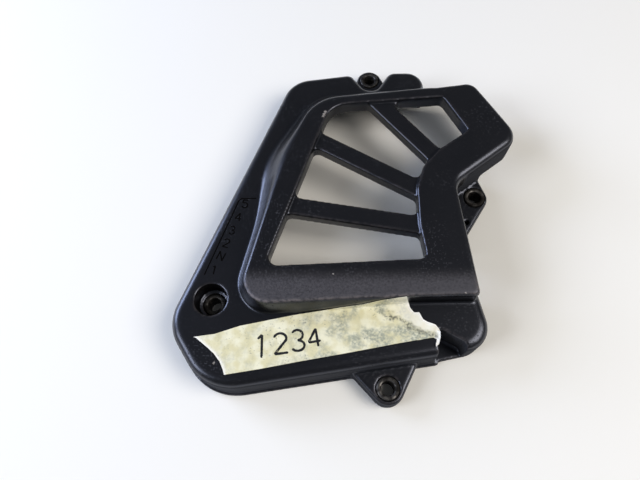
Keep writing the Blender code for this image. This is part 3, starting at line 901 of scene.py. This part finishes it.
# %% Sleeve tree
sleeve_tree = bpy.data.node_groups.new("turned_sleeves", "GeometryNodeTree")
for name, kind in (("Points", "Geometry"), ("Outer Radius", "Float"), ("Bore Radius", "Float"),
                   ("Length", "Float"), ("Chamfer", "Float"), ("Sides", "Int"), ("Finish", "Material")):
    sleeve_tree.interface.new_socket(name, in_out="INPUT", socket_type=f"NodeSocket{kind}")
sleeve_tree.interface.new_socket("Sleeves", in_out="OUTPUT", socket_type="NodeSocketGeometry")
given = add_node(sleeve_tree, "NodeGroupInput").outputs
outer, bore = given["Outer Radius"], given["Bore Radius"]
wall, both_radii = [add_node(sleeve_tree, "ShaderNodeMath", {0: outer, 1: bore}, operation=name).outputs[0]
                    for name in ("SUBTRACT", "ADD")]
middle = add_node(sleeve_tree, "ShaderNodeMath", {0: both_radii, 1: 2.0}, operation="DIVIDE").outputs[0]
section = add_node(sleeve_tree, "GeometryNodeCurvePrimitiveQuadrilateral",
                   {"Width": wall, "Height": given["Length"]}).outputs[0]
chamfered = add_node(sleeve_tree, "GeometryNodeFilletCurve",
                     {"Curve": section, "Radius": given["Chamfer"], "Count": 1}, mode="POLY").outputs[0]
path = add_node(sleeve_tree, "GeometryNodeCurvePrimitiveCircle",
                {"Resolution": given["Sides"], "Radius": middle}).outputs[0]
swept = add_node(sleeve_tree, "GeometryNodeCurveToMesh",
                 {"Curve": path, "Profile Curve": chamfered}).outputs[0]
placed = add_node(sleeve_tree, "GeometryNodeInstanceOnPoints",
                  {"Points": given["Points"], "Instance": swept}).outputs[0]
real = add_node(sleeve_tree, "GeometryNodeRealizeInstances", {0: placed}).outputs[0]
dressed = add_node(sleeve_tree, "GeometryNodeSetMaterial",
                   {"Geometry": real, "Material": given["Finish"]}).outputs[0]
add_node(sleeve_tree, "NodeGroupOutput", {0: dressed})
print("turned_sleeves has", len(sleeve_tree.nodes), "nodes")

# %% Tarnished zinc, and painted shade for the bores
# The zinc plating is a dull warm grey, and oil has darkened it in patches.
zinc, tree, shader = new_material("tarnished_zinc", "#4a4744", 0.5, Metallic=1.0)
coords = add_node(tree, "ShaderNodeTexCoord").outputs["Object"]
oily = patches(coords, 3.5, 0.30, 0.62, detail=5.0)
tree.links.new(layered(linear("#676563"), (oily, "#2b2928")), shader.inputs["Base Color"])
tree.links.new(soft_mask((oily, 0.0, 1.0, 0.42, 0.75)), shader.inputs["Roughness"])
# Painted shade: the bores are nearly black in the colour, as shade falls in them, with lighter crumbs of
# dirt.
bore_shade_and_dirt, tree, shader = new_material("painted_bore_shade_and_dirt", "#0c0b0a", 0.55, Specular_IOR_Level=0.3)
coords = add_node(tree, "ShaderNodeTexCoord").outputs["Object"]
crumbs = patches(coords, 1.2, 0.4, 0.65, detail=4.0)
tree.links.new(layered(linear("#090808"), (crumbs, "#2b2825")), shader.inputs["Base Color"])

# %% Four sleeves
sleeves = mesh_object("steel_sleeves", [place(x, y, SLEEVE_TOP / 2) for x, y in BOLTS.values()])
sleeve_modifier = sleeves.modifiers.new("turned_sleeves", "NODES")
sleeve_modifier.node_group = sleeve_tree
sleeve_values = {"Outer Radius": SLEEVE_RADIUS * MM, "Bore Radius": SLEEVE_BORE_RADIUS * MM,
                 "Length": SLEEVE_TOP * MM, "Chamfer": SLEEVE_CHAMFER * MM,
                 "Sides": ROUND_SIDES, "Finish": zinc}
for socket in sleeve_tree.interface.items_tree:
    if socket.name in sleeve_values:
        sleeve_modifier[socket.identifier] = sleeve_values[socket.name]
sleeve_mesh = evaluated_mesh(sleeves, "steel_sleeves")
sleeves.modifiers.clear()
sleeves.data = sleeve_mesh
print("sleeves", len(sleeve_mesh.polygons), "faces, up to",
      round(max(vertex.co.z for vertex in sleeve_mesh.vertices) / MM, 2), "mm")

# %% Painted shade in the bores
BORE_REACH = (SLEEVE_BORE_RADIUS + 0.05) * MM
sleeve_mesh.materials.clear()
sleeve_mesh.materials.append(zinc)
sleeve_mesh.materials.append(bore_shade_and_dirt)
bolt_spots = [place(x, y, 0.0).xy for x, y in BOLTS.values()]
for face in sleeve_mesh.polygons:
    if min((face.center.xy - spot).length for spot in bolt_spots) < BORE_REACH:
        face.material_index = 1
print("bore faces", sum(face.material_index for face in sleeve_mesh.polygons))

# %% [markdown]
# ## Camera
# The camera is 250 mm above the table and looks down at 23 degrees from the vertical,
# as the photograph was taken. Its lens takes in 65 degrees across. Its place comes
# from the photograph, so it is typed in and not aimed by eye.

# %% Camera
EYE = Vector((5.39 - MIDDLE.x, -107.38 - MIDDLE.y, 250.0)) * MM
backward = Vector((0.02969, -0.39448, 0.91843)).normalized()
to_right = Vector((0.99956, 0.01172, -0.02728)).normalized()
lens = bpy.data.cameras.new("photo_camera")
lens.sensor_width = 36.0
lens.lens = 28.41
lens.clip_start = 0.01
camera = new_object("photo_camera", lens)
turn = Matrix((to_right, backward.cross(to_right), backward)).transposed()
camera.matrix_world = Matrix.Translation(EYE) @ turn.to_4x4()
bpy.context.scene.camera = camera
print("camera at", [round(value / MM, 1) for value in EYE], "mm")

# %% [markdown]
# ## Paper tape
# A strip of crepe paper tape lies over the lower tier, torn at both ends. A cloth
# simulation could drop it there, but paper that is pressed on takes the plastic's
# shape. So its outline is drawn flat, filled with small triangles and laid on.

# %% Outline of the tape
UPPER_EDGE = (
    (-60.1, -57.1), (-50.2, -55.6), (-38.9, -51.8), (-22.7, -48.4), (-11.0, -45.9), (7.7, -42.5),
    (18.1, -41.0), (26.6, -39.0), (36.1, -37.5),
)
REAR_TEAR = (
    (39.4, -37.0), (39.8, -39.0), (40.5, -42.8), (42.2, -45.0), (44.6, -45.0), (46.2, -48.5),
    (47.9, -49.5), (51.5, -50.9), (52.8, -52.3), (53.5, -54.1), (53.4, -57.0), (52.6, -59.4),
    (51.0, -61.0), (51.1, -59.6), (51.7, -57.6),
)
LOWER_EDGE = (
    (50.3, -56.8), (44.2, -57.8), (35.0, -59.3), (25.9, -61.1), (9.9, -64.2), (-10.4, -67.9),
    (-28.4, -71.4),
)
FRONT_TEAR = (
    (-44.4, -74.1), (-45.1, -71.9), (-46.8, -68.4), (-49.8, -64.8), (-52.9, -62.1), (-55.9, -59.8),
    (-58.9, -57.5),
)
TAPE_OUTLINE = UPPER_EDGE + REAR_TEAR + LOWER_EDGE + FRONT_TEAR


def inside_outline(x, y, outline):
    """Counts the outline's sides to the right of a point: an odd count is inside."""
    inside = False
    for (x1, y1), (x2, y2) in zip(outline, outline[1:] + outline[:1]):
        if (y1 > y) != (y2 > y) and x < x1 + (y - y1) / (y2 - y1) * (x2 - x1):
            inside = not inside
    return inside


# %% Flat sheet
EDGE_POINTS = 0.8
CLEAR_OF_EDGE = 0.5
tape_edge = spaced(TAPE_OUTLINE + TAPE_OUTLINE[:1], EDGE_POINTS)[:-1]
# One point on each millimetre inside the outline.
grid_points = []
for x in range(-62, 55):
    for y in range(-75, -36):
        clear = min(math.hypot(x - a, y - b) for a, b in tape_edge) > CLEAR_OF_EDGE
        if clear and inside_outline(x, y, tape_edge):
            grid_points.append((x, y))
sheet_points = [Vector(point) for point in tape_edge + grid_points]
edge_loop = [(index, (index + 1) % len(tape_edge)) for index in range(len(tape_edge))]
flat_points, _, flat_faces, *_ = delaunay_2d_cdt(sheet_points, edge_loop, [], 1, 1e-5)
print("tape points", len(flat_points), "faces", len(flat_faces))

# %% Laid on the cover
# The paper follows the plastic, a little above it, and has wrinkles across its length.
# Its rear end came loose: it is crumpled and its torn corner stands up.
cover_tree = BVHTree.FromObject(moulded_cover, bpy.context.evaluated_depsgraph_get())
TAPE_LIFT = 0.22
TAPE_THICKNESS = 0.15
WRINKLE = 0.10
CRUMPLE = 0.9
LOOSE_FROM, LOOSE_TO = 37.0, 50.0
# Past the tier's rounded edge the strip goes straight on at the tier's level.
LOWEST_CONTACT = 17.5


def lay(x, y, lift):
    """The place on the cover, plus a lift, that the camera sees at a flat point."""
    spot = place(x, y, PLATE_TOP)
    hit, normal, face, reach = cover_tree.ray_cast(EYE, (spot - EYE).normalized())
    if hit is None or hit.z < LOWEST_CONTACT * MM:
        hit, normal = spot, Vector((0.0, 0.0, 1.0))
    wrinkle = WRINKLE * noise.noise(Vector((0.9 * x + 0.2 * y, 0.16 * y, 3.0)))
    loose = min(1.0, max(0.0, (x - LOOSE_FROM) / (LOOSE_TO - LOOSE_FROM)))
    crumple = CRUMPLE * loose * (0.55 + noise.noise(Vector((0.30 * x - 0.22 * y, 0.25 * y, 9.0))))
    return hit + normal * (lift + wrinkle + max(0.0, crumple)) * MM


tape = mesh_object("paper_tape_strip", [lay(x, y, TAPE_LIFT) for x, y in flat_points], flat_faces)
tape_mesh = tape.data

# %% [markdown]
# ## Marker writing
# The owner numbered the part with a marker. Plain digits stand for the writing. An
# image of them would blur close up, so each stroke is a ribbon of ink, laid the way
# the paper is and a hair above it.

# %% Ink ribbons
INK_WIDTH = 1.25
INK_LIFT = 0.03
INK_STEP = 0.5
# Digit, where its middle is, its size against the engraved one, and how far it leans.
WRITING = (("1", -28.1, -61.2, 2.4, 2), ("2", -19.6, -59.8, 2.1, 8),
           ("3", -11.8, -58.4, 2.2, 6), ("4", -4.2, -57.2, 1.9, 10))


def ink_ribbon(points):
    """The left and the right rim of one stroke's ink. The pen lifts at its ends."""
    even = [Vector(point) for point in spaced(points, INK_STEP)]
    rims = []
    for index, point in enumerate(even):
        along = even[min(index + 1, len(even) - 1)] - even[max(index - 1, 0)]
        square = Vector((-along.y, along.x)).normalized()
        width = INK_WIDTH * (0.9 + 0.25 * noise.noise(Vector((point.x, point.y, 5.0))))
        if index in (0, len(even) - 1):
            width *= 0.6
        rims.append((point + square * width / 2, point - square * width / 2))
    return rims


ink_points, ink_faces = [], []
for glyph, x, y, size, lean in WRITING:
    turn = Matrix.Rotation(math.radians(lean), 2) @ Matrix.Scale(size, 2)
    for line in GLYPHS[glyph]:
        rims = ink_ribbon([tuple(turn @ Vector(point) + Vector((x, y))) for point in line])
        first = len(ink_points)
        ink_points += [lay(*point, TAPE_LIFT + TAPE_THICKNESS + INK_LIFT)
                       for rim in rims for point in rim]
        for corner in range(first, len(ink_points) - 2, 2):
            ink_faces.append((corner, corner + 1, corner + 3, corner + 2))
ink = mesh_object("marker_ink", ink_points, ink_faces)
print("ink faces", len(ink_faces))

# %% Thickness and joining
strip = bmesh.new()
for layer, (item, depth) in enumerate(((tape, TAPE_THICKNESS), (ink, INK_LIFT))):
    solid = item.modifiers.new("thickness", "SOLIDIFY")
    solid.thickness = depth * MM
    solid.offset = 1.0 if layer == 0 else -1.0
    before = len(strip.faces)
    strip.from_mesh(evaluated_mesh(item, "layer"))
    strip.faces.ensure_lookup_table()
    for face in strip.faces[before:]:
        face.material_index = layer
tape.modifiers.clear()
bmesh.ops.recalc_face_normals(strip, faces=strip.faces)
strip.to_mesh(tape_mesh)
strip.free()
bpy.data.objects.remove(ink)

# %% Torn ends
TEAR_POINTS = 0.3
TEAR_REACH = 1.6
tears = [Vector(point) for line in (FRONT_TEAR + UPPER_EDGE[:1], REAR_TEAR)
         for point in spaced(line, TEAR_POINTS)]
torn = tape_mesh.attributes.new("torn_edge", "FLOAT", "POINT")
for index, vertex in enumerate(tape_mesh.vertices):
    spot = Vector((vertex.co.x, vertex.co.y)) / MM + MIDDLE
    torn.data[index].value = 1.0 - min(1.0, min((spot - point).length for point in tears) / TEAR_REACH)
print("points on the torn ends", sum(item.value > 0.5 for item in torn.data))

# %% Crepe paper
paper, tree, shader = new_material("crepe_paper_tape", "#e4e0c0", 0.85, Specular_IOR_Level=0.3)
coords = add_node(tree, "ShaderNodeTexCoord").outputs["Object"]
across = add_node(tree, "ShaderNodeSeparateXYZ", {0: coords}).outputs[0]
# The cream paper yellows in blotches, and grime from wet hands has dried on it.
yellowed = patches(coords, 5.0, 0.35, 0.65)
stained = soft_mask(patches(coords, 9.0, 0.42, 0.62, detail=3.0),
                    (across, -45.0 * MM, 12.0 * MM, 0.35, 1.0),
                    patches(coords, 1.1, 0.36, 0.62, detail=4.0, low=0.35))
specks = soft_mask(patches(coords, 0.9, 0.62, 0.72),
                   patches(coords, 7.0, 0.45, 0.6, low=0.15, high=0.7))
colour = layered(linear("#ece9cd"), (yellowed, "#dcd6ae"), (stained, "#a0a493"), (specks, "#7c7d72"))

# %% Grease and torn fibres
# A smear of grease crosses the strip's rear end on a slant. Beyond it the paper is clean.
slant = add_node(tree, "ShaderNodeVectorMath", {0: coords, 1: (0.445, 0.896, 0.0)},
                 operation="DOT_PRODUCT").outputs["Value"]
wavering = patches(coords, 6.0, 0.3, 0.7, low=-44.6 * MM, high=-41.9 * MM)
beyond = add_node(tree, "ShaderNodeMath", {0: slant, 1: wavering}, operation="SUBTRACT").outputs[0]
clean = soft_mask((beyond, 0.0, 3.0 * MM, 0.0, 0.7), (across, 12.0 * MM, 28.0 * MM))
off_line = add_node(tree, "ShaderNodeMath", {0: beyond}, operation="ABSOLUTE").outputs[0]
smear = soft_mask((off_line, 2.2 * MM, 0.0), (across, 12.0 * MM, 19.0 * MM),
                  patches(coords, 1.3, 0.38, 0.62, detail=4.0, low=0.15, high=0.9))
# Torn paper shows its white fibres.
torn_edge = add_node(tree, "ShaderNodeAttribute", attribute_name="torn_edge").outputs["Fac"]
fibres = soft_mask(torn_edge, patches(coords, 1.2, 0.2, 0.45, detail=3.0))
colour = layered(colour, (clean, "#f5f3e6"), (smear, "#5f6058"), (fibres, "#fbfaf5"))
tree.links.new(colour, shader.inputs["Base Color"])
# The crepe's fine folds run across the strip.
turned = add_node(tree, "ShaderNodeMapping", {"Vector": coords, "Rotation": (0.0, 0.0, 0.14),
                                              "Scale": (1.0, 0.22, 1.0)}).outputs[0]
folds = add_node(tree, "ShaderNodeTexNoise", noise_inputs(turned, 0.8, 3.0)).outputs["Fac"]
bumps = add_node(tree, "ShaderNodeBump", {"Strength": 0.5, "Distance": 0.06 * MM, "Height": folds})
tree.links.new(bumps.outputs[0], shader.inputs["Normal"])
print("crepe_paper_tape has", len(tree.nodes), "nodes")

# %% Marker ink
# Dried ink is a matt blue black, and greyer where the pen ran thin.
marker, tree, shader = new_material("marker_ink", "#131417", 0.6, Specular_IOR_Level=0.3)
coords = add_node(tree, "ShaderNodeTexCoord").outputs["Object"]
thin = patches(coords, 0.8, 0.5, 0.75, detail=3.0)
tree.links.new(layered(linear("#101114"), (thin, "#3a3b3a")), shader.inputs["Base Color"])
tape_mesh.materials.append(paper)
tape_mesh.materials.append(marker)
tape_mesh.shade_smooth()
tape_mesh.set_sharp_from_angle(angle=SHARP_ANGLE)
print("strip faces", len(tape_mesh.polygons))

# %% [markdown]
# ## Table and light
# The part lies on a white table near a window. A picture of a room could light it, but
# three soft lamps are easier to place by the gleams: two from the left stand in for
# the window and the sky in it, and one from the right for the room.

# %% Table
HALF_TABLE = 1.5
table_corners = [(x * HALF_TABLE, y * HALF_TABLE, 0.0) for x, y in ((-1, -1), (1, -1), (1, 1), (-1, 1))]
floor = mesh_object("table", table_corners, [(0, 1, 2, 3)])
floor.data.materials.append(new_material("white_table", "#f2f1ec", 0.7)[0])

# %% Light
world = bpy.data.worlds.new("room")
bpy.context.scene.world = world
world.use_nodes = True
background = world.node_tree.nodes["Background"]
background.inputs["Color"].default_value = linear("#e8edf5")
background.inputs["Strength"].default_value = 0.17
# Each lamp's name, place in metres, size in metres, power in watts and colour.
LAMPS = (
    ("window_light", (-1.05, 0.42, 0.45), 0.6, 12.6, "#d3e0ff"),
    ("sky_light", (-1.0, -0.35, 0.72), 0.6, 8.3, "#eef3ff"),
    ("room_light", (0.90, -0.26, 1.00), 0.8, 13.5, "#fff8ef"),
)
for name, spot, size, power, hex_colour in LAMPS:
    light = bpy.data.lights.new(name, "AREA")
    light.size = size
    light.energy = power
    light.color = linear(hex_colour)[:3]
    lamp = new_object(name, light)
    lamp.location = spot
    # An area lamp shines down its own -Z, so +Z points away from the part at the origin.
    lamp.rotation_euler = Vector(spot).to_track_quat("Z", "Y").to_euler()
bpy.context.scene.view_settings.view_transform = "Standard"
print("lamps", [name for name, *_ in LAMPS])

# %% [markdown]
# ## The pieces and the frame
# Each piece rides on the part's one body, and the CAD nodes that it stands for are hidden.

# %% Ride and replace
for piece, slot, nodes in (
        (moulded_cover, "black_nylon", ["guard_shell"]),
        (sleeves, "zinc_plated_steel", [f"{name}_sleeve" for name in BOLTS]),
        (tape, "paper_tape", ["masking_tape"])):
    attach(piece, "root")
    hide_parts(*nodes)
